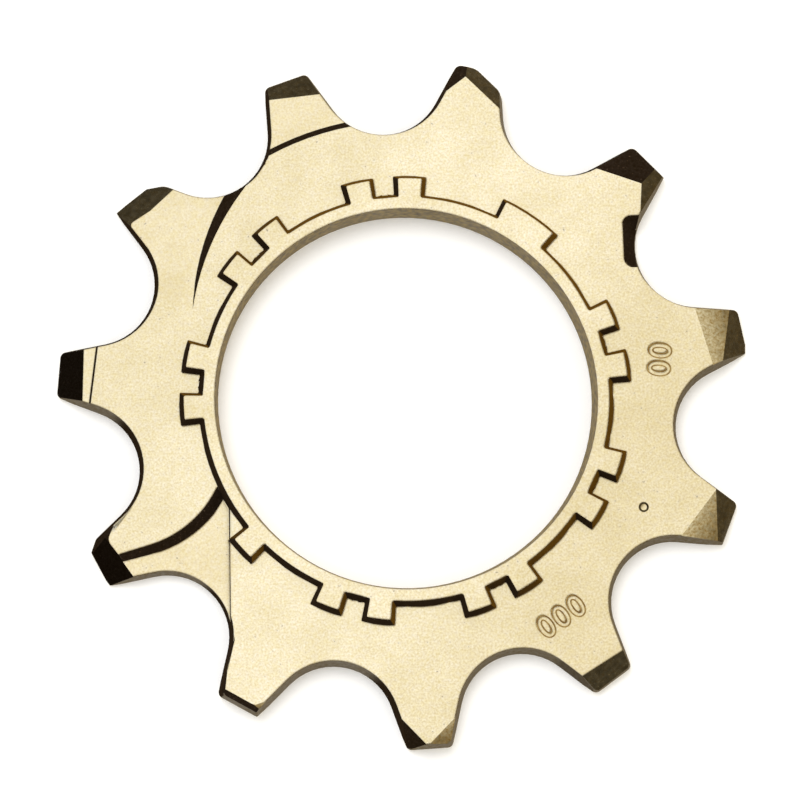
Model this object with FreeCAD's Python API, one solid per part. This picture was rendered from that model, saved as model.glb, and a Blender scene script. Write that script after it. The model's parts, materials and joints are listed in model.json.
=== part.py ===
# Eleven-tooth cassette cog: one steel plate that lies on its flat back, with a raised castellated
# collar round the bore, faceted tooth tips, two shift ramps, a relief scallop and a small dimple.
# Frame: +Z is the bore axis out of the front face, the origin is the bore centre on the back face.
# Millimetres and degrees. Teeth are numbered clockwise from 0, as seen from the front.
import FreeCAD, Part
import math
import os
from collections import namedtuple

Vector = FreeCAD.Vector
UP = Vector(0, 0, 1)

# Chain and teeth
TOOTH_COUNT = 11
CHAIN_PITCH = 12.7
ROLLER_DIAMETER = 7.75
SEAT_CLEARANCE = 0.3
TIP_ABOVE_PITCH = 1.26
TIP_WIDTH = 3.1
FIRST_TOOTH_ANGLE = 110.4
BACK_BEVEL_RUN = 1.0
BACK_BEVEL_ANGLE = 12.0

# Plate and bore: the blanked outline is full size on the back and smaller on the front, and the bore is
# a straight land at the back with a flare up to the collar
BODY_THICKNESS = 1.7
DRAFT_INSET = 0.3
BORE_RADIUS = 12.82
BORE_LAND = 0.9
BORE_FLARE = 0.2

# Collar: a flat land round the bore, teeth that reach past it, and sides that slope down to the plate
COLLAR_HEIGHT = 0.9
COLLAR_LAND = 0.83
COLLAR_TOOTH_REACH = 1.3
COLLAR_SLOPE_RUN = 0.3
COLLAR_CORNER = 0.12
COLLAR_TOOTH_WIDTH = 1.65
COLLAR_WIDE_TOOTH_WIDTH = 3.85
COLLAR_PAIR_SPACING = 3.6
COLLAR_GROUP_COUNT = 9
COLLAR_FIRST_ANGLE = 96.0
COLLAR_WIDE_GROUP = 1
COLLAR_HALF_GROUP = 6

# Ramp on the first tooth: a level floor with a round inner wall, over a share of the tooth pitch
RAMP_WALL_ANGLE = 45.0
TOOTH_RAMP_DEPTH = 0.4
TOOTH_RAMP_ABOVE_ROOT = 0.6
TOOTH_RAMP_SHARE = 0.8

# Upper ramp: the foot of its wall as (radius above the root circle, angle past the first tooth), the
# place where its floor comes up to the face, and the way that the floor falls
UPPER_RAMP_WALL = [(1.5, 10.5), (-0.87, 29.6), (-3.77, 56.0)]
UPPER_RAMP_LEVEL = (-2.86, 46.8)
UPPER_RAMP_FALL_TURN = -38.5
UPPER_RAMP_FALL_ANGLE = 6.9
UPPER_RAMP_TIP_DEPTH = 0.7

# Lower ramp, in the directions of its tooth: a straight wall that leans off the centre line and runs
# on as an arc to the bore, a floor that falls towards the bore, and an upright step to the roller seat
LOWER_RAMP_TOOTH = 8
LOWER_RAMP_DEPTH = 0.45
LOWER_RAMP_FALL_ANGLE = 1.8
LOWER_RAMP_LEAN = 13.2
LOWER_RAMP_BEND = (1.54, 1.03)
LOWER_RAMP_BEND_RADIUS = 8.0
LOWER_RAMP_BEND_TURN = 58.0
LOWER_RAMP_STEP = [(-4.68, 0.5), (-0.6, 8.3)]

# Scallop in the roller seat after the third tooth, and the dimple near the fifth
SCALLOP_TOOTH = 2
SCALLOP_LENGTH = 3.6
SCALLOP_ABOVE_ROOT = 0.8
SCALLOP_PAST_TOOTH = 10.3
SCALLOP_TURN = 31.6
SCALLOP_CORNER = 0.6
SCALLOP_FOOT_CORNER = 0.1
SCALLOP_DEPTH = 1.4
SCALLOP_WALL_RUN = 1.1
DIMPLE_TOOTH = 4
DIMPLE_DIAMETER = 0.7
DIMPLE_FLOOR_DIAMETER = 0.42
DIMPLE_DEPTH = 0.05
DIMPLE_BELOW_ROOT = 0.91
DIMPLE_PAST_TOOTH = 3.7

# Tip facets, one row for each tooth. A facet falls away from a line across the tooth, from start to
# end, each (distance in from the tip, counter-clockwise offset), at a slope; an upright one trims the
# outline. Lowered is how far the tooth's face lies under the front face there, and step is a small
# drop at the facet's start.
Facet = namedtuple("Facet", "start end slope lowered step", defaults=[0.0, 0.0])
UPRIGHT = 90
TIP_FACETS = [
    [Facet((1.0, 1.9), (2.0, -2.4), 29, TOOTH_RAMP_DEPTH)],
    [Facet((2.9, 2.4), (1.0, 0.8), 42), Facet((1.0, 0.8), (3.0, -2.5), 36),
     Facet((-0.1, 0.6), (1.7, -2.3), UPRIGHT)],
    [Facet((3.2, 2.2), (1.7, -0.77), 22), Facet((1.13, 0.2), (2.25, -1.7), 24),
     Facet((1.7, -0.77), (3.1, -2.07), 26)],
    [Facet((1.3, 1.8), (2.2, -1.9), 38), Facet((3.1, 2.4), (2.7, -2.2), 12)],
    [Facet((1.9, 1.9), (1.15, -1.8), 38), Facet((1.8, 1.9), (2.9, -1.8), 14)],
    [Facet((1.3, 1.9), (1.6, -2.0), 36)],
    [Facet((2.2, 2.0), (0.2, -0.2), 16), Facet((0.2, -0.2), (2.2, -1.9), 52)],
    [Facet((0.6, 1.6), (0.6, -1.6), 44), Facet((1.6, 1.9), (0.5, 0.9), 12),
     Facet((0.5, -1.2), (2.9, -2.2), 60)],
    [Facet((1.9, 2.0), (1.5, -0.4), 31, LOWER_RAMP_DEPTH), Facet((0.3, -0.3), (2.4, -2.0), 62)],
    [Facet((2.1, 2.0), (1.95, -1.9), 35), Facet((2.4, 2.3), (2.6, -2.3), 7, step=0.12)],
    [Facet((1.4, 1.8), (2.8, -2.4), 31, UPPER_RAMP_TIP_DEPTH), Facet((0.0, -0.3), (1.8, -2.1), UPRIGHT)],
]

pitch_angle = 360.0 / TOOTH_COUNT
pitch_radius = CHAIN_PITCH / 2 / math.sin(math.pi / TOOTH_COUNT)
tip_radius = pitch_radius + TIP_ABOVE_PITCH
root_radius = pitch_radius - ROLLER_DIAMETER / 2
seat_radius = ROLLER_DIAMETER / 2 + SEAT_CLEARANCE
seat_centre_radius = root_radius + seat_radius
collar_radius = BORE_RADIUS + BORE_FLARE + COLLAR_LAND
collar_tooth_radius = collar_radius + COLLAR_TOOTH_REACH
collar_top = BODY_THICKNESS + COLLAR_HEIGHT
# Cutters reach this far past what they cut
reach = 2 * BODY_THICKNESS
clear_radius = tip_radius + reach


def polar(radius, angle, z=0.0):
    """Point at a radius and an angle in degrees about the bore axis."""
    turn = math.radians(angle)
    return Vector(radius * math.cos(turn), radius * math.sin(turn), z)


def tooth_angle(index):
    """Angle of a tooth's centre line."""
    return FIRST_TOOTH_ANGLE - index * pitch_angle


def tooth_point(index, radial, offset):
    """Point in a tooth's own directions: along its centre line, and counter-clockwise of it."""
    return polar(radial, tooth_angle(index)) + polar(offset, tooth_angle(index) + 90)


def line(start, end):
    """Straight edge between two points."""
    return Part.LineSegment(start, end).toShape()


def arc(start, middle, end):
    """Round edge through three points."""
    return Part.Arc(start, middle, end).toShape()


def polygon(corners):
    """Flat face with straight sides."""
    return Part.Face(Part.makePolygon(corners + corners[:1]))


def flank(inset):
    """Ends of a tooth's straight flank in tooth directions; it is tangent to the roller seat, and inset."""
    half = math.radians(pitch_angle / 2)
    centre = Vector(seat_centre_radius * math.cos(half), seat_centre_radius * math.sin(half), 0)
    corner = Vector(tip_radius, TIP_WIDTH / 2, 0)
    to_corner = corner - centre
    turn = math.atan2(to_corner.y, to_corner.x) - math.acos(seat_radius / to_corner.Length)
    normal = Vector(math.cos(turn), math.sin(turn), 0)
    along = corner - (centre + normal * seat_radius)
    start = centre + normal * (seat_radius + inset)
    end = start + along * ((tip_radius - inset - start.x) / along.x)
    return start, end


def tooth_outline(inset, z):
    """Roller seats as arcs, straight flanks tangent to them and flat tooth ends, at a height."""
    start, end = flank(inset)
    lift = UP * z
    edges = []
    for index in range(TOOTH_COUNT):
        left = tooth_point(index, start.x, start.y) + lift
        left_tip = tooth_point(index, end.x, end.y) + lift
        right_tip = tooth_point(index, end.x, -end.y) + lift
        right = tooth_point(index, start.x, -start.y) + lift
        seat_bottom = polar(root_radius - inset, tooth_angle(index + 0.5), z)
        next_left = tooth_point(index + 1, start.x, start.y) + lift
        edges += [line(left, left_tip), line(left_tip, right_tip), line(right_tip, right)]
        edges.append(arc(right, seat_bottom, next_left))
    return Part.Wire(edges)


def toothed_plate():
    """Plate between the full outline on the back and the smaller one on the front."""
    return Part.makeLoft([tooth_outline(0.0, 0.0), tooth_outline(DRAFT_INSET, BODY_THICKNESS)], True, True)


def back_bevel():
    """Ring that bevels the tooth tips on the back face."""
    start = tip_radius - BACK_BEVEL_RUN
    rise = (clear_radius - start) * math.tan(math.radians(BACK_BEVEL_ANGLE))
    section = polygon([Vector(start, 0, 0), Vector(clear_radius, 0, 0), Vector(clear_radius, 0, rise)])
    return section.revolve(Vector(), UP, 360)


def tip_facet(index, facet):
    """Wedge over a tooth tip, falling outwards from the line between two points of its face."""
    first = tooth_point(index, tip_radius - facet.start[0], facet.start[1])
    last = tooth_point(index, tip_radius - facet.end[0], facet.end[1])
    along = (last - first).normalize()
    outward = UP.cross(along)
    overrun = TIP_WIDTH / 2
    fall = 2 * BODY_THICKNESS
    run = 0.0 if facet.slope == UPRIGHT else fall / math.tan(math.radians(facet.slope))
    base = first - along * overrun
    far = outward * (run + reach)
    edge = base + UP * (BODY_THICKNESS - facet.lowered)
    foot = edge + (outward - UP) * facet.step
    corners = [foot, foot + outward * run - UP * fall, edge + far - UP * fall,
               base + far + UP * collar_top, base + UP * collar_top]
    if facet.step:
        corners.insert(0, edge)
    return polygon(corners).extrude(along * ((last - first).Length + 2 * overrun))


def wall_run(height):
    """How far a sloped ramp wall moves back over a height."""
    return height / math.tan(math.radians(RAMP_WALL_ANGLE))


def tooth_ramp():
    """Lowered face of the first tooth: a ring with a sloped inner wall, kept to that tooth."""
    edge = root_radius + TOOTH_RAMP_ABOVE_ROOT
    foot = edge + wall_run(TOOTH_RAMP_DEPTH)
    floor = BODY_THICKNESS - TOOTH_RAMP_DEPTH
    section = polygon([Vector(edge, 0, BODY_THICKNESS), Vector(foot, 0, floor),
                       Vector(clear_radius, 0, floor), Vector(clear_radius, 0, BODY_THICKNESS)])
    span = TOOTH_RAMP_SHARE * pitch_angle
    ring = section.revolve(Vector(), UP, span)
    ring.rotate(Vector(), UP, tooth_angle(0) - span / 2)
    return ring


def ramp_cutter(foot_outline, height):
    """Solid over a ramp floor whose wall leans back at the ramp wall angle.

    foot_outline(spread) gives the edges of the floor's outline with its wall moved back by spread.
    """
    floor = Part.Wire(foot_outline(0.0))
    top = Part.Wire(foot_outline(wall_run(height)))
    top.translate(UP * height)
    return Part.makeLoft([floor, top], True, True)


def upper_ramp():
    """Floor that falls from a point near the collar to the roller seat before the first tooth."""
    angles = [tooth_angle(0) + past for above, past in UPPER_RAMP_WALL]
    radii = [root_radius + above for above, past in UPPER_RAMP_WALL]
    level = polar(root_radius + UPPER_RAMP_LEVEL[0], tooth_angle(0) + UPPER_RAMP_LEVEL[1], BODY_THICKNESS)

    def outline(spread):
        start, middle, tail = [polar(radius - spread, angle) for radius, angle in zip(radii, angles)]
        far_tail = polar(clear_radius, angles[-1])
        far_start = polar(clear_radius, angles[0])
        corners = [tail, far_tail, far_start, start]
        return [arc(start, middle, tail)] + [line(*pair) for pair in zip(corners, corners[1:])]

    cutter = ramp_cutter(outline, BODY_THICKNESS)
    cutter.translate(UP * BODY_THICKNESS)
    axis = UP.cross(polar(1, tooth_angle(0) + UPPER_RAMP_FALL_TURN))
    cutter.rotate(level, axis, UPPER_RAMP_FALL_ANGLE)
    return cutter


def lower_ramp():
    """Floor between a leaning wall that bends in to the bore and a short upright step."""
    bend = tooth_point(LOWER_RAMP_TOOTH, root_radius + LOWER_RAMP_BEND[0], LOWER_RAMP_BEND[1])
    step_start, step_end = [tooth_point(LOWER_RAMP_TOOTH, root_radius + above, offset)
                            for above, offset in LOWER_RAMP_STEP]
    out_angle = tooth_angle(LOWER_RAMP_TOOTH) - LOWER_RAMP_LEAN
    out = polar(clear_radius - root_radius, out_angle)
    far = tooth_point(LOWER_RAMP_TOOTH, clear_radius, LOWER_RAMP_STEP[1][1])
    centre = bend - polar(LOWER_RAMP_BEND_RADIUS, out_angle + 90)

    def outline(spread):
        start, middle, end = [centre + polar(LOWER_RAMP_BEND_RADIUS - spread, out_angle + 90 + turn)
                              for turn in (0, LOWER_RAMP_BEND_TURN / 2, LOWER_RAMP_BEND_TURN)]
        corners = [start, start + out, far, step_end, step_start, end]
        return [arc(end, middle, start)] + [line(*pair) for pair in zip(corners, corners[1:])]

    cutter = ramp_cutter(outline, BODY_THICKNESS)
    cutter.translate(UP * (BODY_THICKNESS - LOWER_RAMP_DEPTH))
    tip = tooth_point(LOWER_RAMP_TOOTH, tip_radius, 0) + UP * (BODY_THICKNESS - LOWER_RAMP_DEPTH)
    cutter.rotate(tip, UP.cross(polar(-1, tooth_angle(LOWER_RAMP_TOOTH))), LOWER_RAMP_FALL_ANGLE)
    return cutter


def scallop():
    """Bite out of the front edge of a roller seat, with rounded corners and sloped walls."""

    def outline(spread, corner):
        half = SCALLOP_LENGTH / 2 - SCALLOP_WALL_RUN + spread
        diagonal = corner * (1 - math.sqrt(0.5))
        edges = [line(Vector(reach, -half, 0), Vector(corner - spread, -half, 0)),
                 arc(Vector(corner - spread, -half, 0), Vector(diagonal - spread, diagonal - half, 0),
                     Vector(-spread, corner - half, 0)),
                 line(Vector(-spread, corner - half, 0), Vector(-spread, half - corner, 0)),
                 arc(Vector(-spread, half - corner, 0), Vector(diagonal - spread, half - diagonal, 0),
                     Vector(corner - spread, half, 0)),
                 line(Vector(corner - spread, half, 0), Vector(reach, half, 0)),
                 line(Vector(reach, half, 0), Vector(reach, -half, 0))]
        return Part.Wire(edges)

    foot = outline(0.0, SCALLOP_FOOT_CORNER)
    top = outline(SCALLOP_WALL_RUN, SCALLOP_CORNER)
    top.translate(UP * SCALLOP_DEPTH)
    cutter = Part.makeLoft([foot, top], True, True)
    angle = tooth_angle(SCALLOP_TOOTH) - SCALLOP_PAST_TOOTH
    cutter.rotate(Vector(), UP, angle - SCALLOP_TURN)
    cutter.translate(polar(root_radius + SCALLOP_ABOVE_ROOT, angle, BODY_THICKNESS - SCALLOP_DEPTH))
    return cutter


def dimple():
    """Shallow centre mark on the front face."""
    place = polar(root_radius - DIMPLE_BELOW_ROOT, tooth_angle(DIMPLE_TOOTH) - DIMPLE_PAST_TOOTH,
                  BODY_THICKNESS - DIMPLE_DEPTH)
    return Part.makeCone(DIMPLE_FLOOR_DIAMETER / 2, DIMPLE_DIAMETER / 2, DIMPLE_DEPTH, place)


def collar_teeth():
    """Start and end angles of the collar's teeth at their tips, counter-clockwise."""
    to_degrees = math.degrees(1 / collar_tooth_radius)
    half = COLLAR_TOOTH_WIDTH / 2 * to_degrees
    wide = COLLAR_WIDE_TOOTH_WIDTH / 2 * to_degrees
    apart = COLLAR_PAIR_SPACING / 2 * to_degrees
    spans = []
    for group in range(COLLAR_GROUP_COUNT):
        middle = COLLAR_FIRST_ANGLE - group * 360.0 / COLLAR_GROUP_COUNT
        if group == COLLAR_WIDE_GROUP:
            spans.append((middle - wide, middle + wide))
            continue
        if group != COLLAR_HALF_GROUP:
            spans.append((middle - apart - half, middle - apart + half))
        spans.append((middle + apart - half, middle + apart + half))
    return sorted(spans)


def collar_wire(spread, z):
    """Castellated outline, grown by spread on every side."""
    low = collar_radius + spread
    high = collar_tooth_radius + spread
    widen = math.degrees(spread / collar_tooth_radius)
    spans = [(start - widen, end + widen) for start, end in collar_teeth()]
    next_starts = [start for start, end in spans[1:]] + [spans[0][0] + 360]
    edges = []
    for (start, end), next_start in zip(spans, next_starts):
        edges.append(line(polar(low, start, z), polar(high, start, z)))
        edges.append(arc(polar(high, start, z), polar(high, (start + end) / 2, z), polar(high, end, z)))
        edges.append(line(polar(high, end, z), polar(low, end, z)))
        middle = (end + next_start) / 2
        edges.append(arc(polar(low, end, z), polar(low, middle, z), polar(low, next_start, z)))
    return Part.Wire(edges)


def collar():
    """Sloped castellated rim with rounded corners, on an upright foot that reaches down through the plate."""
    foot = Part.Face(collar_wire(COLLAR_SLOPE_RUN, 0.0)).extrude(UP * BODY_THICKNESS)
    rim_wires = [collar_wire(COLLAR_SLOPE_RUN, BODY_THICKNESS), collar_wire(0.0, collar_top)]
    rim = Part.makeLoft(rim_wires, True, True)
    corners = [edge for edge in rim.Edges if edge.BoundBox.ZLength > COLLAR_HEIGHT / 2]
    return foot.fuse(rim.makeFillet(COLLAR_CORNER, corners))


def bore():
    """Straight land at the back that flares up to the collar."""
    hole = Part.makeCylinder(BORE_RADIUS, collar_top)
    flare = Part.makeCone(BORE_RADIUS, BORE_RADIUS + BORE_FLARE, collar_top - BORE_LAND, UP * BORE_LAND)
    return hole.fuse(flare)


def cog():
    """The whole cog as one solid."""
    plate = toothed_plate()
    for cutter in [back_bevel(), tooth_ramp(), upper_ramp(), lower_ramp(), scallop(), dimple()]:
        plate = plate.cut(cutter)
    for index in range(TOOTH_COUNT):
        for facet in TIP_FACETS[index % len(TIP_FACETS)]:
            plate = plate.cut(tip_facet(index, facet))
    return plate.fuse(collar()).cut(bore()).removeSplitter()


os.makedirs("parts", exist_ok=True)
shape = cog()
print("solids", len(shape.Solids), "valid", shape.isValid(), "volume", round(shape.Volume, 2))
shape.Solids[0].exportStep("parts/cog.step")
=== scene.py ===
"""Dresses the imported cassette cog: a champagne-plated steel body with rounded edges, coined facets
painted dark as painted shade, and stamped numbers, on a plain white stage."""

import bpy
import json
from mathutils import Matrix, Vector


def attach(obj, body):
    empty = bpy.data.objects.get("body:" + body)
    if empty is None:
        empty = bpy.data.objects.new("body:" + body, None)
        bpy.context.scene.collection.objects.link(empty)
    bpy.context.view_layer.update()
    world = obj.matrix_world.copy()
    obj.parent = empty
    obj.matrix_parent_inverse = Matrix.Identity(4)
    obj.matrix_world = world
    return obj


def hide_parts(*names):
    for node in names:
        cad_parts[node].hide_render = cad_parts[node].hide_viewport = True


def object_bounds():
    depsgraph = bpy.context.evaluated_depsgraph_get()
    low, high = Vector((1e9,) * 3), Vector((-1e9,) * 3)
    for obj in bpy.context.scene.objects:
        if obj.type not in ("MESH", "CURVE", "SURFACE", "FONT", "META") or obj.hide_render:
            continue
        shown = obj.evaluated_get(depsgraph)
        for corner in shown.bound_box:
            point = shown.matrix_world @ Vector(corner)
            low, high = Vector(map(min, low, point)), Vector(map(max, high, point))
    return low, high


bl_info = {
    "name": "Cassette Cog Dresser",
    "version": (1, 0, 0),
    "blender": (4, 5, 0),
    "location": "3D View > Sidebar > Cog",
    "description": "Builds the plated body of a cassette cog round its packed frame, with a studio stage",
    "category": "Add Mesh",
}

import json
import math
from typing import NamedTuple

import bmesh
import bpy
import numpy as np
from mathutils import Matrix, Vector

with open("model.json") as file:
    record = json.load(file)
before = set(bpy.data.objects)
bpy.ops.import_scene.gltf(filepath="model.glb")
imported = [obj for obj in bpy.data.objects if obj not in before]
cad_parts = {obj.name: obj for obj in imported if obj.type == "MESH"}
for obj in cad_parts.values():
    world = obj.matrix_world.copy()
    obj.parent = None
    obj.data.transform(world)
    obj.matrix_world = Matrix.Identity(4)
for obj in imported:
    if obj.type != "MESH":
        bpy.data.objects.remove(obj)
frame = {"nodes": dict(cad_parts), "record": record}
cad_low, cad_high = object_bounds()

MM = 0.001
BODY_NAME = "cog_body"
BODY = "root"
FINISHES = ["champagne_face", "polished_ramp", "grained_facet", "coined_facet", "burnt_side",
            "collar_side", "blanked_wall", "turned_bore", "plain_back", "stamp_edge"]
BORE_RADIUS = next(m for m in frame["record"]["mounts"] if m["name"] == "bore")["dims"]["r_mm"] * MM
# Half the width of the plate
PLATE_REACH = 24 * MM
# Way that the light drifts across the plate, and with it the painted shade on the plating's tone
DRIFT_AXIS = (0.9, -0.44, 0.0)

# Finishes of the slopes from shallow to steep, each with the upward share of the normal that it ends at
# The near-black steep sides are painted shade: their plating is dark only through how light falls
SLOPES = [("grained_facet", 0.93), ("burnt_side", 0.92), ("coined_facet", 0.745), ("burnt_side", 0.35),
          ("blanked_wall", -0.35), ("plain_back", -math.inf)]
# Upward share above which a face is near level, and below which it is a side of the collar, bore or a stamp
RAMP_SHARE = 0.985
SIDE_SHARE = 0.9
# Height off the front face at which a face counts as above or below it
CLEAR_HEIGHT = 0.02 * MM
# The dimple lies within this share of the plate's reach, and the grained facets lie outside it
DIMPLE_SHARE = 0.8
# The bore's flare reaches this many bore radii
FLARE_SHARE = 1.03

# A face whose normal has this upward share is level, and levels closer than the step count as one
LEVEL_SHARE = 0.9999
LEVEL_STEP = 0.01 * MM
# Loose corners closer than the gap are one corner, and faces within the angle are one face
WELD_GAP = 0.0005 * MM
FLAT_ANGLE = math.radians(0.4)
# Edges above the first angle are rounded, and edges below the second are shaded smooth
SHARP_ANGLE = math.radians(20)
SMOOTH_ANGLE = math.radians(40)
# Strips across a rounded tooth corner and across a rounded rim, and the profile of both
CORNER_STRIPS = 6
RIM_STRIPS = 2
ROUND_PROFILE = 0.5
# A rim that ends a chain of rims is at least this many edge radii long
STUB_RADII = 2
# Least angle, and least sine of one, that a slide is worked out with
LEAST_ANGLE = 0.01
# Part of an edge that the rounding at one of its ends may take
END_PART = 0.48
# A tooth's corner rises by this share of its length, outside this share of the plate's reach
UPRIGHT_SHARE = 0.8
TIP_SHARE = 0.87
# Pull of large faces on the shading of small ones
FLAT_WEIGHT = 100

# Stamped numbers: digits, radius and angle of their middle, and the turn of their reading line
STAMPS = [("00", 17.5 * MM, math.radians(9.5), math.radians(-94.0)),
          ("000", 18.2 * MM, math.radians(-54.5), math.radians(35.0))]
# Height of a digit as a share of the text size, its pitch as a share of the usual one, and its smoothness
DIGIT_SHARE = 0.7
DIGIT_PITCH = 1.15
DIGIT_SEGMENTS = 6

# Distance between the nodes of a tree along its two axes
NODE_GRID = (220, -180)
# Layers of noise in the plating, with how many of each lie along a millimetre
NOISE_PER_MM = {"Grain": 6.0, "Blotches": 3.0, "Pits": 3.0, "Clouds": 0.3}
NOISE_DETAIL = 2.0
NOISE_ROUGHNESS = 0.6
# Limits of the noise between which the grain, and the blotches, go from one tone to the other
GRAIN_LIMITS = (0.3, 0.7)
BLOTCH_LIMITS = (0.35, 0.65)
# Noise that pits start at, its rise from the rim of a pit to its floor, and the share of the tone there
PITS_FROM = 0.7
PIT_RISE = 0.06
PIT_SHARE = 0.55
# Powers of a grey share that make a gold tone of it
GOLD_POWERS = (0.75, 1.0, 1.6)
# Tints of the plating in its clouds, and painted shade that darkens the plate towards both ends of the
# drift axis
CLOUD_TINTS = [(0.35, (0.93, 0.915, 0.86)), (0.65, 1.0)]
DRIFT_SHADE_TINTS = [(0.19, (0.92, 0.908, 0.87)), (0.36, 1.0), (0.62, 1.0), (0.80, (0.90, 0.88, 0.815))]
# Rims with painted shade: radius and samples of the averaged normal, its agreement with the surface's own
# where the rim starts and where it is full, the axis of the sides that get a painted shadow, and the lean
# along it likewise
RIM_RADIUS = 0.2 * MM
RIM_SAMPLES = 6
RIM_LIMITS = (0.99, 0.82)
SHADOW_AXIS = (0.8, -0.6, 0.0)
SHADOW_LIMITS = (0.02, 0.25)
# Share of the painted rim shade in a full rim, and share of its colour in the painted shadow on the sides
# that face the shadow axis
RIM_SHADE_SHARE = 0.5
SIDE_SHADOW_SHARE = 0.3
# Change of the roughness with the grain, and height of the grain's bump
ROUGHNESS_SPREAD = 0.05
BUMP_HEIGHT = 0.02 * MM

# Light of the tent: share of its white cap by the upward share of a direction, and tones of the cap
# between two limits along the drift axis
CAP_FALL = [(0.0, 0.0), (0.67, 0.0), (0.89, 1.0), (1.0, 1.0)]
CAP_LIMITS = (-0.2, 0.2)
CAP_TONES = [(0.0, 1.0), (1.0, (0.77, 0.72, 0.61))]
# Tones of the room below the cap, along an axis from its left to its right
ROOM_AXIS = (0.9, 0.45, 0.0)
ROOM_TONES = [(0.25, 0.42), (0.43, 0.56), (0.6, 0.62), (0.95, (0.74, 0.66, 0.5))]
# Floor: half width in diagonals of the cog, gap below the cog, roughness, and colour of its own light
FLOOR_REACH = 20
FLOOR_GAP = 0.02 * MM
FLOOR_ROUGHNESS = 0.9
WHITE = (1.0, 1.0, 1.0)
# Nearest that the camera sees
NEAR_CLIP = 1 * MM


class Pits(NamedTuple):
    """Sparse specks: what they multiply the tone by, how many lie along a millimetre, and the noise
    that they start at. Below 1 the share makes dark pits, above 1 painted glints."""

    share: float = PIT_SHARE
    per_mm: float = NOISE_PER_MM["Pits"]
    start: float = PITS_FROM


class SideShade(NamedTuple):
    """Painted shade on the sides that face along an axis, from a low to a high share of it."""

    colour: tuple
    axis: tuple
    low: float
    high: float


class Fade(NamedTuple):
    """Colour of the plating inside the near share of the plate's reach, gone at the far share."""

    colour: tuple
    near: float
    far: float


def face_array(mesh, name, width):
    """One value or vector of each of a mesh's faces, as an array with a row for each face."""
    values = np.empty(len(mesh.polygons) * width, np.float32)
    mesh.polygons.foreach_get(name, values)
    return values.reshape(-1, width)


def front_height(mesh):
    """Height of the front face: the level that holds the most area of level faces."""
    level = face_array(mesh, "normal", 3)[:, 2] > LEVEL_SHARE
    heights = face_array(mesh, "center", 3)[level, 2]
    areas = face_array(mesh, "area", 1)[level, 0]
    levels = np.round(heights / LEVEL_STEP).astype(int)
    return float(np.bincount(levels, weights=areas).argmax() * LEVEL_STEP)


TOP_FACE = front_height(frame["nodes"]["cog"].data)


class CogSizes(bpy.types.PropertyGroup):
    """Sizes of the body's own details."""

    edge_radius: bpy.props.FloatProperty(
        name="Edge radius", description="Rounding of every sharp edge of the plate",
        default=0.07 * MM, min=0.0, precision=5, unit="LENGTH")
    corner_cut: bpy.props.FloatProperty(
        name="Corner cut", description="Distance from a tooth's upright corner where its rounding starts",
        default=0.3 * MM, min=0.0, precision=5, unit="LENGTH")
    stamp_height: bpy.props.FloatProperty(
        name="Stamp height", description="Height of a stamped digit",
        default=1.5 * MM, min=0.0, precision=5, unit="LENGTH")
    stamp_depth: bpy.props.FloatProperty(
        name="Stamp depth", description="Depth of a stamped stroke and width of its sloped sides",
        default=0.10 * MM, min=0.0, precision=5, unit="LENGTH")


class CogColours(bpy.types.PropertyGroup):
    """Colours of the plating and of the stage."""

    face: bpy.props.FloatVectorProperty(
        name="Face", description="Champagne plating of the flat faces",
        default=(0.925, 0.848, 0.603), subtype="COLOR", min=0.0, max=1.0)
    blush: bpy.props.FloatVectorProperty(
        name="Blush", description="Paler blotches in the plating",
        default=(0.93, 0.868, 0.706), subtype="COLOR", min=0.0, max=1.0)
    # The shallow facets take darker copies of this rough plating as painted shade; the stamps' strokes take
    # it as it is
    worn: bpy.props.FloatVectorProperty(
        name="Worn", description="Rough, half-worn plating of the shallow facets",
        default=(0.64, 0.50, 0.25), subtype="COLOR", min=0.0, max=1.0)
    # Painted shade: the coined facets carry the face's plating, painted dark as they look in dark
    # reflections
    facet: bpy.props.FloatVectorProperty(
        name="Facet", description="Dark plating of the coined facets",
        default=(0.09, 0.07, 0.037), subtype="COLOR", min=0.0, max=1.0)
    # Painted shade: the collar's side is the face's plating, painted brown as it looks in shade
    collar: bpy.props.FloatVectorProperty(
        name="Collar side", description="Brown film on the collar's side",
        default=(0.125, 0.063, 0.009), subtype="COLOR", min=0.0, max=1.0)
    wall: bpy.props.FloatVectorProperty(
        name="Wall", description="Blanked tooth flanks",
        default=(0.195, 0.165, 0.124), subtype="COLOR", min=0.0, max=1.0)
    bore: bpy.props.FloatVectorProperty(
        name="Bore", description="Turned wall of the bore",
        default=(0.34, 0.27, 0.15), subtype="COLOR", min=0.0, max=1.0)
    # Painted shade: brown rim along the plating's edges and in its creases, and a painted shadow on the
    # sides facing lower right
    rim_shade: bpy.props.FloatVectorProperty(
        name="Wear", description="Brown rim of the plating along its edges",
        default=(0.30, 0.19, 0.07), subtype="COLOR", min=0.0, max=1.0)
    # Painted shade: near-black tone of the steep sides and of the sides that face left
    painted_shade: bpy.props.FloatVectorProperty(
        name="Soot", description="Dark film on the burnt sides and on what faces left",
        default=(0.012, 0.0075, 0.0042), subtype="COLOR", min=0.0, max=1.0)
    floor: bpy.props.FloatVectorProperty(
        name="Floor", description="Stage floor",
        default=(0.95, 0.95, 0.95), subtype="COLOR", min=0.0, max=1.0)


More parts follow.
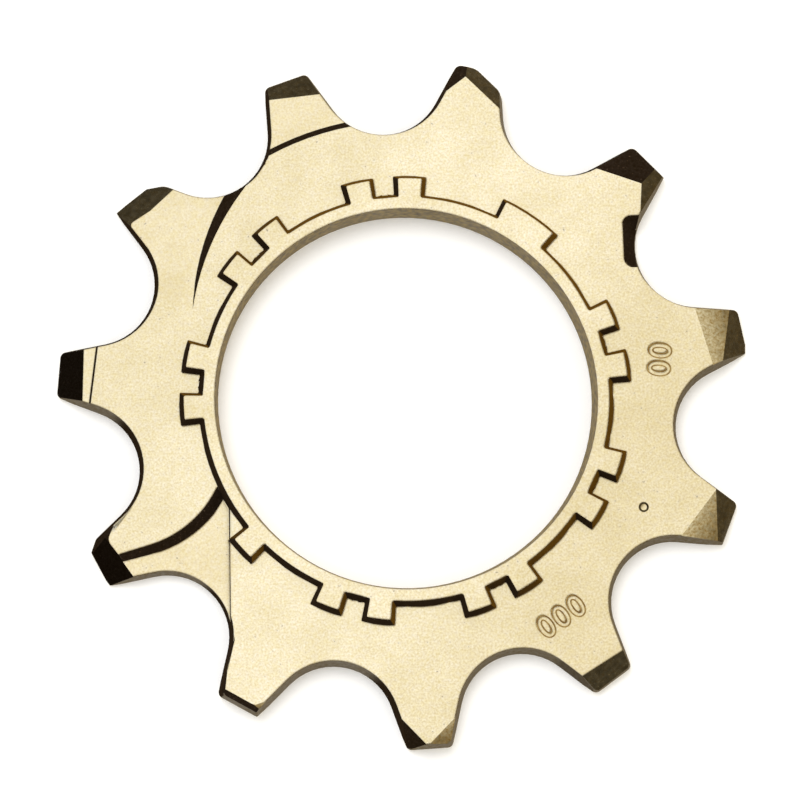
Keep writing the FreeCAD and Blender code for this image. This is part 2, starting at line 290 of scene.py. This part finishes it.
class CogStage(bpy.types.PropertyGroup):
    """Camera and light."""

    camera_target: bpy.props.FloatVectorProperty(
        name="Camera target", description="Point in the middle of the view",
        default=(-0.4 * MM, 0.06 * MM, 1.0 * MM), precision=5, subtype="TRANSLATION")
    camera_distance: bpy.props.FloatProperty(
        name="Camera distance", description="From the lens to the camera's target",
        default=300 * MM, unit="LENGTH")
    camera_tilt: bpy.props.FloatProperty(
        name="Camera tilt", description="Lean of the view off the bore axis",
        default=math.radians(7.5), subtype="ANGLE")
    camera_side: bpy.props.FloatProperty(
        name="Camera side", description="Way that the camera leans, counter-clockwise from +X",
        default=math.radians(-110.0), subtype="ANGLE")
    camera_lens: bpy.props.FloatProperty(
        name="Lens", description="Focal length on a 36 mm sensor",
        default=197.6, unit="CAMERA")
    sky_strength: bpy.props.FloatProperty(
        name="Sky strength", description="Brightness of the white tent overhead",
        default=1.34)
    key_place: bpy.props.FloatVectorProperty(
        name="Key place", description="Middle of the softbox, from the middle of the cog",
        default=(-80 * MM, 140 * MM, 330 * MM), subtype="TRANSLATION")
    key_size: bpy.props.FloatProperty(
        name="Key size", description="Diameter of the softbox",
        default=220 * MM, unit="LENGTH")
    key_power: bpy.props.FloatProperty(
        name="Key power", description="Power of the softbox",
        default=0.6, unit="POWER")
    floor_glow: bpy.props.FloatProperty(
        name="Floor glow", description="Strength of the floor's own white light",
        default=0.08)


# Node helpers

def feed(tree, target, value):
    """Links an output to an input, or gives the input a fixed value; a colour comes without its alpha."""
    if isinstance(value, bpy.types.NodeSocket):
        tree.links.new(value, target)
    elif target.type == "RGBA":
        target.default_value = (*value, 1.0)
    else:
        target.default_value = value


def node(tree, kind, place, **settings):
    """New node of a kind at a place on the tree's grid, with its properties and inputs set by name."""
    made = tree.nodes.new(kind)
    made.location = (place[0] * NODE_GRID[0], place[1] * NODE_GRID[1])
    for name, value in settings.items():
        if hasattr(made, name):
            setattr(made, name, value)
        else:
            feed(tree, made.inputs[name.replace("_", " ")], value)
    return made


def ramp(tree, place, share, stops):
    """Colour that a share has on a ramp of (position, grey or colour) stops."""
    made = node(tree, "ShaderNodeValToRGB", place, Fac=share)
    elements = made.color_ramp.elements
    while len(elements) < len(stops):
        elements.new(0.5)
    for element, (position, value) in zip(elements, stops):
        element.position = position
        colour = (value,) * 3 if isinstance(value, float) else value
        element.color = (*colour, 1.0)
    return made.outputs["Color"]


def spread(tree, place, value, low, high, **settings):
    """Share of the way that a value is from a low to a high limit, from 0 to 1 or to other ends by name."""
    made = node(tree, "ShaderNodeMapRange", place, Value=value, From_Min=low, From_Max=high, **settings)
    return made.outputs["Result"]


def maths(tree, place, operation, first, second):
    """Result of a sum, difference or product of two numbers."""
    made = node(tree, "ShaderNodeMath", place, operation=operation)
    feed(tree, made.inputs[0], first)
    feed(tree, made.inputs[1], second)
    return made.outputs["Value"]


def dot(tree, place, first, second):
    """Dot product of two vectors."""
    made = node(tree, "ShaderNodeVectorMath", place, operation="DOT_PRODUCT")
    feed(tree, made.inputs[0], first)
    feed(tree, made.inputs[1], second)
    return made.outputs["Value"]


def blend(tree, place, share, first, second, kind="MIX"):
    """Colour between two by a share, or between the first and a mix of both of another kind."""
    made = node(tree, "ShaderNodeMix", place, data_type="RGBA", blend_type=kind)
    inputs = {socket.identifier: socket for socket in made.inputs}
    outputs = {socket.identifier: socket for socket in made.outputs}
    feed(tree, inputs["Factor_Float"], share)
    feed(tree, inputs["A_Color"], first)
    feed(tree, inputs["B_Color"], second)
    return outputs["Result_Color"]


def group_sockets(tree, inputs, outputs):
    """Adds a group's inputs, each with its usual value, and its outputs, and returns both by name."""
    for name, value in inputs.items():
        kind = "NodeSocketFloat" if isinstance(value, float) else "NodeSocketVector"
        socket = tree.interface.new_socket(name, in_out="INPUT", socket_type=kind)
        socket.default_value = value
    for name in outputs:
        tree.interface.new_socket(name, in_out="OUTPUT", socket_type="NodeSocketFloat")
    return node(tree, "NodeGroupInput", (-1, 0)).outputs, node(tree, "NodeGroupOutput", (5, 0)).inputs


def use_group(tree, name, fill, place, **values):
    """Outputs of a shared group with its own values here. The group is made and filled the first time."""
    group = bpy.data.node_groups.get(name)
    if group is None:
        group = bpy.data.node_groups.new(name, "ShaderNodeTree")
        fill(group)
    return node(tree, "ShaderNodeGroup", place, node_tree=group, **values).outputs


# Shared effects of the finishes

def fill_speckle(tree):
    """Fine grain of the plating from Object coordinates.

    Grain, blotches, pits and clouds are noise, each at its own size. Pits are the highest part of theirs,
    and the height is grain less pits. Drift goes from 0 to 1 along an axis across the plate, and Reach
    from 0 at the bore's axis to 1 at the plate's reach.
    """
    counts = {name + " per mm": count for name, count in NOISE_PER_MM.items()}
    outputs = [*NOISE_PER_MM, "Height", "Drift", "Reach"]
    enter, leave = group_sockets(tree, {**counts, "Pits from": PITS_FROM}, outputs)
    place = node(tree, "ShaderNodeTexCoord", (0, 0)).outputs["Object"]
    masks = {}
    for row, name in enumerate(NOISE_PER_MM):
        per_metre = maths(tree, (1, row), "MULTIPLY", enter[name + " per mm"], 1 / MM)
        noise = node(tree, "ShaderNodeTexNoise", (2, row), Vector=place, Scale=per_metre,
                     Detail=NOISE_DETAIL, Roughness=NOISE_ROUGHNESS)
        masks[name] = noise.outputs["Fac"]
    pit_floor = maths(tree, (2, 4), "ADD", enter["Pits from"], PIT_RISE)
    masks["Pits"] = spread(tree, (3, 2), masks["Pits"], enter["Pits from"], pit_floor)
    masks["Height"] = maths(tree, (4, 0), "SUBTRACT", masks["Grain"], masks["Pits"])
    across = dot(tree, (1, 5), place, DRIFT_AXIS)
    masks["Drift"] = spread(tree, (2, 5), across, -PLATE_REACH, PLATE_REACH)
    flat = node(tree, "ShaderNodeVectorMath", (1, 6), operation="MULTIPLY", Vector=place)
    flat.inputs[1].default_value = (1.0, 1.0, 0.0)
    distance = node(tree, "ShaderNodeVectorMath", (2, 6), operation="LENGTH", Vector=flat.outputs["Vector"])
    masks["Reach"] = spread(tree, (3, 6), distance.outputs["Value"], 0.0, PLATE_REACH)
    for name, mask in masks.items():
        tree.links.new(mask, leave[name])


def fill_side_shade(tree):
    """Mask of the sides that face along an axis: the normal's share of it, from a low to a high limit."""
    enter, leave = group_sockets(tree, {"Axis": (-1.0, 0.0, 0.0), "Low": 0.0, "High": 0.4}, ["Mask"])
    normal = node(tree, "ShaderNodeNewGeometry", (0, 0)).outputs["Normal"]
    share = dot(tree, (1, 0), normal, enter["Axis"])
    mask = spread(tree, (2, 0), share, enter["Low"], enter["High"], interpolation_type="SMOOTHSTEP")
    tree.links.new(mask, leave["Mask"])


def fill_edge_rim(tree):
    """Masks of a narrow rim along every edge, and of the part of it on the sides that face along an axis,
    which carry painted shade and a painted shadow.

    The normal is averaged over a small radius. Near an edge it leans off the surface's own normal, and
    the lean points the way that the surface on the other side of the edge faces.
    """
    enter, leave = group_sockets(tree, {"Radius": RIM_RADIUS, "Axis": SHADOW_AXIS}, ["Rim", "Side"])
    normal = node(tree, "ShaderNodeNewGeometry", (0, 0)).outputs["Normal"]
    mean = node(tree, "ShaderNodeBevel", (0, 1), samples=RIM_SAMPLES, Radius=enter["Radius"])
    agreement = dot(tree, (1, 0), normal, mean.outputs["Normal"])
    lean = dot(tree, (1, 1), mean.outputs["Normal"], enter["Axis"])
    tree.links.new(spread(tree, (2, 0), agreement, *RIM_LIMITS), leave["Rim"])
    tree.links.new(spread(tree, (2, 1), lean, *SHADOW_LIMITS), leave["Side"])


# Finishes

def scaled(colour, share):
    """Colour with each of its parts scaled."""
    return tuple(part * share for part in colour)


def tinted(share):
    """Gold tone of a grey share: its powers, so that blue changes more than red."""
    return tuple(share ** power for power in GOLD_POWERS)


def new_material(name):
    """Material with an empty tree."""
    material = bpy.data.materials.new(name)
    material.use_nodes = True
    material.node_tree.nodes.clear()
    return material


def add_shader(tree, **settings):
    """Gives a material's tree a Principled shader without specular gloss, with its inputs set by name."""
    shader = node(tree, "ShaderNodeBsdfPrincipled", (9, 0), Specular_IOR_Level=0.0, **settings)
    node(tree, "ShaderNodeOutputMaterial", (10, 0), Surface=shader.outputs["BSDF"])


def plating(name, metal, colour, second, dark, light, roughness, bump, grain=NOISE_PER_MM["Grain"],
            pits=Pits(), film=None, fade=None, rim_shade=None):
    """Plating blotched between two colours, with a grain from dark to light, sparse specks (dark pits, and
    painted glints where their share is above 1) and a fine bump.

    Metal is 1 for bare plating and 0 for a dull coat, and the rim colour is painted shade along the edges
    and in creases, with a painted shadow on the sides that face the shadow axis.
    """
    material = new_material(name)
    tree = material.node_tree
    speckle = use_group(tree, "plating_speckle", fill_speckle, (0, 0), Grain_per_mm=grain,
                        Pits_per_mm=pits.per_mm, Pits_from=pits.start)
    blotches = spread(tree, (1, 0), speckle["Blotches"], *BLOTCH_LIMITS)
    tone = blend(tree, (2, 0), blotches, colour, second)
    if fade:
        outer = spread(tree, (2, 1), speckle["Reach"], fade.near, fade.far)
        tone = blend(tree, (3, 0), outer, fade.colour, tone)
    # Painted shade: the sides that face along the given axis darken towards the given colour
    if film:
        facing = use_group(tree, "side_film", fill_side_shade, (2, 2), Axis=film.axis, Low=film.low,
                           High=film.high)
        tone = blend(tree, (3, 0), facing["Mask"], tone, film.colour)
    grain_tints = list(zip(GRAIN_LIMITS, (tinted(dark), tinted(light))))
    # The drift layer paints shade towards both ends of the plate
    layers = {"Grain": grain_tints, "Clouds": CLOUD_TINTS, "Drift": DRIFT_SHADE_TINTS}
    for step, (layer, tints) in enumerate(layers.items()):
        shade = ramp(tree, (3 + step, 1), speckle[layer], tints)
        tone = blend(tree, (4 + step, 0), 1.0, tone, shade, "MULTIPLY")
    # Specks: a share below 1 darkens them into pits, a share above 1 brightens them into painted glints
    tone = blend(tree, (7, 0), speckle["Pits"], tone, (pits.share,) * 3, "MULTIPLY")
    # Painted shade along every edge and in creases, and a painted shadow on the sides that face the shadow
    # axis
    if rim_shade:
        edge = use_group(tree, "edge_rim", fill_edge_rim, (6, 2))
        thin = maths(tree, (7, 2), "MULTIPLY", edge["Rim"], RIM_SHADE_SHARE)
        tone = blend(tree, (7, 1), thin, tone, rim_shade)
        tone = blend(tree, (8, 1), edge["Side"], tone, scaled(rim_shade, SIDE_SHADOW_SHARE))
    rough = spread(tree, (7, 3), speckle["Grain"], *GRAIN_LIMITS, To_Min=roughness - ROUGHNESS_SPREAD,
                   To_Max=roughness + ROUGHNESS_SPREAD)
    relief = node(tree, "ShaderNodeBump", (8, 3), Strength=bump, Distance=BUMP_HEIGHT,
                  Height=speckle["Height"])
    add_shader(tree, Metallic=metal, Base_Color=tone, Roughness=rough, Normal=relief.outputs["Normal"])
    return material


def finishes(colours):
    """The finishes of the one plated steel, in the order of FINISHES."""
    names = ("face", "blush", "worn", "facet", "collar", "wall", "bore", "rim_shade", "painted_shade")
    face, blush, worn, facet, collar, wall, bore, rim_shade, painted_shade = [
        tuple(getattr(colours, name)) for name in names]
    # Painted shade: deep is a darker copy of the coined facets' painted-dark tone
    deep = scaled(facet, 0.6)
    # Painted shade: darker copies of the worn plating for the shallow facets
    shaded_worn = scaled(worn, 0.6)
    deeper_shaded_worn = scaled(worn, 0.3)
    # Painted shade: near-black tones of the steep sides and of the sides that face left
    painted_black = scaled(painted_shade, 1.5)
    painted_side_shade = scaled(painted_shade, 2.2)
    looks = {
        "champagne_face": dict(metal=1.0, colour=face, second=blush, dark=0.77, light=1.10,
                               roughness=0.36, bump=0.08, grain=7.0, rim_shade=rim_shade),
        "polished_ramp": dict(metal=1.0, colour=face, second=blush, dark=0.77, light=1.03,
                              roughness=0.32, bump=0.06, grain=7.0, rim_shade=rim_shade),
        "grained_facet": dict(metal=1.0, colour=shaded_worn, second=deeper_shaded_worn, dark=0.40, light=1.10,
                              roughness=0.40, bump=0.4, fade=Fade(face, near=0.83, far=0.97)),
        "coined_facet": dict(metal=1.0, colour=facet, second=deep, dark=0.65, light=1.25,
                             # Painted glints: bright specks on the dark facet
                             roughness=0.28, bump=0.08, pits=Pits(share=2.0, per_mm=8.0, start=0.64),
                             film=SideShade(painted_shade, axis=(-0.95, -0.3, 0.0), low=0.14, high=0.3)),
        "burnt_side": dict(metal=0.0, colour=painted_black, second=painted_black, dark=0.70, light=1.40,
                           # Painted glints: bright specks on the near-black side
                           roughness=0.50, bump=0.1, pits=Pits(share=5.0, per_mm=8.0, start=0.66)),
        "collar_side": dict(metal=0.0, colour=collar, second=collar, dark=0.80, light=1.20,
                            roughness=0.50, bump=0.1,
                            film=SideShade(painted_side_shade, axis=(-0.8, -0.6, 0.0), low=-0.2, high=0.35)),
        "blanked_wall": dict(metal=0.0, colour=wall, second=wall, dark=0.75, light=1.15,
                             roughness=0.60, bump=0.1, grain=4.0,
                             film=SideShade(painted_side_shade, axis=(-0.97, 0.25, 0.0), low=0.2, high=0.55)),
        "turned_bore": dict(metal=0.0, colour=bore, second=wall, dark=0.85, light=1.12,
                            roughness=0.60, bump=0.1),
        "plain_back": dict(metal=1.0, colour=face, second=blush, dark=0.88, light=1.04,
                           roughness=0.40, bump=0.06),
        "stamp_edge": dict(metal=0.2, colour=worn, second=rim_shade, dark=0.55, light=0.95,
                           roughness=0.50, bump=0.05),
    }
    return [plating(name, **looks[name]) for name in FINISHES]


# Body

def add_object(name, data):
    """New object in the scene, at the origin."""
    made = bpy.data.objects.new(name, data)
    bpy.context.scene.collection.objects.link(made)
    return made


def welded_copy(source):
    """Copy of the node's mesh with its loose triangles merged and coplanar ones joined."""
    mesh = bpy.data.meshes.new(BODY_NAME)
    work = bmesh.new()
    work.from_mesh(source.data)
    bmesh.ops.remove_doubles(work, verts=work.verts, dist=WELD_GAP)
    bmesh.ops.dissolve_limit(work, angle_limit=FLAT_ANGLE, verts=work.verts, edges=work.edges)
    work.to_mesh(mesh)
    work.free()
    return mesh


def finish_of_faces(mesh):
    """Finish number of each face, from how far up it looks, how high it lies and how far out."""
    normals = face_array(mesh, "normal", 3)
    centres = face_array(mesh, "center", 3)
    upward = normals[:, 2]
    height = centres[:, 2] - TOP_FACE
    radius = np.hypot(centres[:, 0], centres[:, 1])
    inward = (normals[:, :2] * centres[:, :2]).sum(1) < 0
    side = np.abs(upward) < SIDE_SHARE
    finish = np.full(len(upward), FINISHES.index("champagne_face"))
    finish[(upward > RAMP_SHARE) & (height < -CLEAR_HEIGHT)] = FINISHES.index("polished_ramp")
    high = RAMP_SHARE
    for name, low in SLOPES:
        finish[(upward > low) & (upward <= high)] = FINISHES.index(name)
        high = low
    dimple = (finish == FINISHES.index("grained_facet")) & (radius < DIMPLE_SHARE * PLATE_REACH)
    finish[dimple] = FINISHES.index("coined_facet")
    finish[side & (height > CLEAR_HEIGHT)] = FINISHES.index("collar_side")
    finish[side & inward & (radius < BORE_RADIUS * FLARE_SHARE)] = FINISHES.index("turned_bore")
    return finish.astype(np.int32)


def has_room(edge, chosen, radius):
    """Whether an edge can be rounded: its new sides stay within the edges that they slide along.

    At a corner of a face the side slides by the radius over the tangent of half the angle if the next
    edge is rounded too, and over the sine of the angle if it isn't.
    """
    for loop in edge.link_loops:
        before, after = loop.link_loop_prev, loop.link_loop_next
        for corner, other in ((loop, before.edge), (after, after.edge)):
            if not corner.is_convex:
                continue
            angle = max(corner.calc_angle(), LEAST_ANGLE)
            length = other.calc_length()
            if other in chosen:
                slide = radius / math.tan(angle / 2)
                length = END_PART * min(length, edge.calc_length())
            else:
                slide = radius / max(math.sin(angle), LEAST_ANGLE)
            if slide > length:
                return False
    return True


def is_stub(edge, chosen, shortest):
    """Whether an edge ends a chain of rounded edges and is shorter than the shortest that may."""
    if edge.calc_length() >= shortest:
        return False
    return any(not (chosen & set(vertex.link_edges) - {edge}) for vertex in edge.verts)


def sharp_edges(work):
    """Edges where two faces meet at a clear angle."""
    return {edge for edge in work.edges
            if len(edge.link_faces) == 2 and edge.calc_face_angle() > SHARP_ANGLE}


def is_tip_corner(edge):
    """Whether an edge is an upright one at the tip of a tooth."""
    first, second = [vertex.co for vertex in edge.verts]
    middle = (first + second) / 2
    upright = abs(second.z - first.z) > UPRIGHT_SHARE * (second - first).length
    return upright and math.hypot(middle.x, middle.y) > TIP_SHARE * PLATE_REACH


def bevel(work, chosen, radius, strips, shortest=0.0):
    """Rounds those of the chosen edges that have room for it, each new strip with a neighbour's finish.

    An edge that is left out changes the room of those beside it, so the test goes on until all pass.
    """
    tight = chosen
    while tight:
        tight = {edge for edge in chosen
                 if not has_room(edge, chosen, radius) or is_stub(edge, chosen, shortest)}
        chosen = chosen - tight
    order = sorted(chosen, key=lambda edge: edge.index)
    bmesh.ops.bevel(work, geom=order, affect="EDGES", offset=radius, offset_type="OFFSET", segments=strips,
                    profile=ROUND_PROFILE, clamp_overlap=False, material=-1, loop_slide=True)
    work.edges.index_update()
    work.normal_update()


def rounded(mesh, corner_cut, radius):
    """Rounds the upright corners of the teeth, then every sharp edge, and keeps to the CAD box."""
    work = bmesh.new()
    work.from_mesh(mesh)
    bevel(work, {edge for edge in sharp_edges(work) if is_tip_corner(edge)}, corner_cut, CORNER_STRIPS)
    bevel(work, sharp_edges(work), radius, RIM_STRIPS, STUB_RADII * radius)
    for edge in work.edges:
        edge.smooth = len(edge.link_faces) == 2 and edge.calc_face_angle() < SMOOTH_ANGLE
    work.to_mesh(mesh)
    work.free()
    places = np.empty(len(mesh.vertices) * 3, np.float32)
    mesh.vertices.foreach_get("co", places)
    places = np.clip(places.reshape(-1, 3), np.array(cad_low), np.array(cad_high))
    mesh.vertices.foreach_set("co", places.ravel().astype(np.float32))


class COG_OT_body(bpy.types.Operator):
    """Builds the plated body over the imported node"""

    bl_idname = "cog.body"
    bl_label = "Plated Body"

    def execute(self, context):
        sizes = context.scene.cog_sizes
        mesh = welded_copy(frame["nodes"]["cog"])
        for material in finishes(context.scene.cog_colours):
            mesh.materials.append(material)
        mesh.polygons.foreach_set("material_index", finish_of_faces(mesh))
        rounded(mesh, sizes.corner_cut, sizes.edge_radius)
        mesh.shade_smooth()
        body = add_object(BODY_NAME, mesh)
        weighted = body.modifiers.new("flat_faces_stay_flat", "WEIGHTED_NORMAL")
        weighted.weight = FLAT_WEIGHT
        weighted.keep_sharp = True
        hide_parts("cog")
        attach(body, BODY)
        return {"FINISHED"}


# Stamped numbers

def stamp_mesh(text, height, depth):
    """Text as a mesh about its own middle: widest in its plane, with sides that slope in to a floor."""
    curve = bpy.data.curves.new("stamp", "FONT")
    curve.body = text
    curve.align_x = "CENTER"
    curve.align_y = "CENTER"
    curve.size = height / DIGIT_SHARE
    curve.space_character = DIGIT_PITCH
    curve.bevel_depth = depth
    curve.bevel_resolution = 0
    curve.resolution_u = DIGIT_SEGMENTS
    carrier = add_object("stamp", curve)
    mesh = bpy.data.meshes.new_from_object(carrier.evaluated_get(bpy.context.evaluated_depsgraph_get()))
    bpy.data.objects.remove(carrier)
    bpy.data.curves.remove(curve)
    return mesh


def stamp_cutter(stamp, sizes, material):
    """Cutter of one stamped number, in its place on the front face."""
    text, radius, angle, turn = stamp
    mesh = stamp_mesh(text, sizes.stamp_height, sizes.stamp_depth)
    spot = Vector((radius * math.cos(angle), radius * math.sin(angle), TOP_FACE))
    mesh.transform(Matrix.Translation(spot) @ Matrix.Rotation(turn, 4, "Z"))
    mesh.materials.clear()
    mesh.materials.append(material)
    return add_object("stamp", mesh)


def carved(mesh, cutters):
    """Copy of a mesh with the cutters' shapes taken out, and with their material in the cuts."""
    blank = add_object("blank", mesh)
    for cutter in cutters:
        cut = blank.modifiers.new("stamp", "BOOLEAN")
        cut.operation = "DIFFERENCE"
        cut.solver = "EXACT"
        cut.object = cutter
        cut.material_mode = "TRANSFER"
    result = bpy.data.meshes.new_from_object(blank.evaluated_get(bpy.context.evaluated_depsgraph_get()))
    for helper in [blank, *cutters]:
        bpy.data.objects.remove(helper)
    return result


class COG_OT_stamps(bpy.types.Operator):
    """Cuts the stamped numbers into the front face of the body"""

    bl_idname = "cog.stamps"
    bl_label = "Stamped Numbers"

    def execute(self, context):
        body = bpy.data.objects.get(BODY_NAME)
        if body is None:
            raise RuntimeError("the plated body has to be built before its stamps")
        edge = FINISHES.index("stamp_edge")
        material = body.data.materials[edge]
        cutters = [stamp_cutter(stamp, context.scene.cog_sizes, material) for stamp in STAMPS]
        mesh = carved(body.data, cutters)
        finish = np.empty(len(mesh.polygons), np.int32)
        mesh.polygons.foreach_get("material_index", finish)
        stamped = finish == edge
        floors = stamped & (face_array(mesh, "normal", 3)[:, 2] > SIDE_SHARE)
        finish[floors] = FINISHES.index("champagne_face")
        mesh.polygons.foreach_set("material_index", finish)
        mesh.polygons.foreach_set("use_smooth", ~stamped)
        mesh.name = BODY_NAME
        body.data = mesh
        return {"FINISHED"}


# Stage

def add_sky(strength):
    """White tent overhead that falls away to a dimmer room, which is warm at its right and behind."""
    world = bpy.data.worlds.new("tent")
    bpy.context.scene.world = world
    world.use_nodes = True
    tree = world.node_tree
    tree.nodes.clear()
    way = node(tree, "ShaderNodeTexCoord", (0, 0)).outputs["Generated"]
    upward = node(tree, "ShaderNodeSeparateXYZ", (1, 0), Vector=way).outputs["Z"]
    fall = ramp(tree, (3, 0), upward, CAP_FALL)
    right = spread(tree, (2, 1), dot(tree, (1, 1), way, ROOM_AXIS), -1.0, 1.0)
    room = ramp(tree, (3, 1), right, ROOM_TONES)
    across = spread(tree, (2, 2), dot(tree, (1, 2), way, DRIFT_AXIS), *CAP_LIMITS)
    cap = ramp(tree, (3, 2), across, CAP_TONES)
    colour = blend(tree, (4, 0), fall, room, cap)
    light = node(tree, "ShaderNodeBackground", (5, 0), Strength=strength, Color=colour)
    node(tree, "ShaderNodeOutputWorld", (6, 0), Surface=light.outputs["Background"])


def add_floor(colour, glow):
    """Square of matt white under the cog, which gives part of its own light so that it stays white."""
    material = new_material("white_floor")
    add_shader(material.node_tree, Base_Color=colour, Roughness=FLOOR_ROUGHNESS,
               Emission_Color=WHITE, Emission_Strength=glow)
    corners = np.array([[-1, -1, 0], [1, -1, 0], [1, 1, 0], [-1, 1, 0]])
    corners = corners * FLOOR_REACH * (cad_high - cad_low).length
    corners[:, 2] = cad_low.z - FLOOR_GAP
    mesh = bpy.data.meshes.new("floor")
    mesh.from_pydata(corners.tolist(), [], [(0, 1, 2, 3)])
    mesh.materials.append(material)
    return add_object("floor", mesh)


def add_softbox(settings):
    """Round softbox that looks at the middle of the cog and isn't seen in the plating."""
    key = bpy.data.lights.new("softbox", "AREA")
    key.shape = "DISK"
    key.size = settings.key_size
    key.energy = settings.key_power
    lamp = add_object("softbox", key)
    lamp.location = (cad_low + cad_high) / 2 + settings.key_place
    lamp.rotation_euler = (-settings.key_place).to_track_quat("-Z", "Y").to_euler()
    lamp.visible_glossy = False


def add_camera(settings):
    """Camera that leans off the bore axis, with the plate's Y upright in the picture."""
    lens = bpy.data.cameras.new("camera")
    lens.lens = settings.camera_lens
    lens.clip_start = NEAR_CLIP
    lean = math.sin(settings.camera_tilt)
    back = Vector((lean * math.cos(settings.camera_side), lean * math.sin(settings.camera_side),
                   math.cos(settings.camera_tilt)))
    right = Vector((0, 1, 0)).cross(back).normalized()
    turn = Matrix((right, back.cross(right), back)).transposed().to_4x4()
    place = settings.camera_target + back * settings.camera_distance
    camera = add_object("camera", lens)
    camera.matrix_world = Matrix.Translation(place) @ turn
    return camera


class COG_OT_stage(bpy.types.Operator):
    """Builds the white floor, the light and the camera"""

    bl_idname = "cog.stage"
    bl_label = "Studio Stage"

    def execute(self, context):
        settings = context.scene.cog_stage
        floor = add_floor(tuple(context.scene.cog_colours.floor), settings.floor_glow)
        add_sky(settings.sky_strength)
        add_softbox(settings)
        context.scene.camera = add_camera(settings)
        context.scene.view_settings.view_transform = "Standard"
        return {"FINISHED"}


class COG_PT_panel(bpy.types.Panel):
    """Lists the cog's builders and their values"""

    bl_idname = "COG_PT_panel"
    bl_label = "Cassette Cog"
    bl_space_type = "VIEW_3D"
    bl_region_type = "UI"
    bl_category = "Cog"

    def draw(self, context):
        for operator in OPERATORS:
            self.layout.operator(operator.bl_idname)
        for group, name in GROUPS.items():
            settings = getattr(context.scene, name)
            for value in group.__annotations__:
                self.layout.prop(settings, value)


GROUPS = {CogSizes: "cog_sizes", CogColours: "cog_colours", CogStage: "cog_stage"}
OPERATORS = [COG_OT_body, COG_OT_stamps, COG_OT_stage]


def register():
    """Registers the classes and hangs the settings on the scene."""
    for cls in [*GROUPS, *OPERATORS, COG_PT_panel]:
        bpy.utils.register_class(cls)
    for group, name in GROUPS.items():
        setattr(bpy.types.Scene, name, bpy.props.PointerProperty(type=group))


def unregister():
    """Takes the settings and the classes away again."""
    for name in GROUPS.values():
        delattr(bpy.types.Scene, name)
    for cls in reversed([*GROUPS, *OPERATORS, COG_PT_panel]):
        bpy.utils.unregister_class(cls)


def main():
    """Builds everything in order."""
    register()
    bpy.ops.cog.body()
    bpy.ops.cog.stamps()
    bpy.ops.cog.stage()


if __name__ == "__main__":
    main()
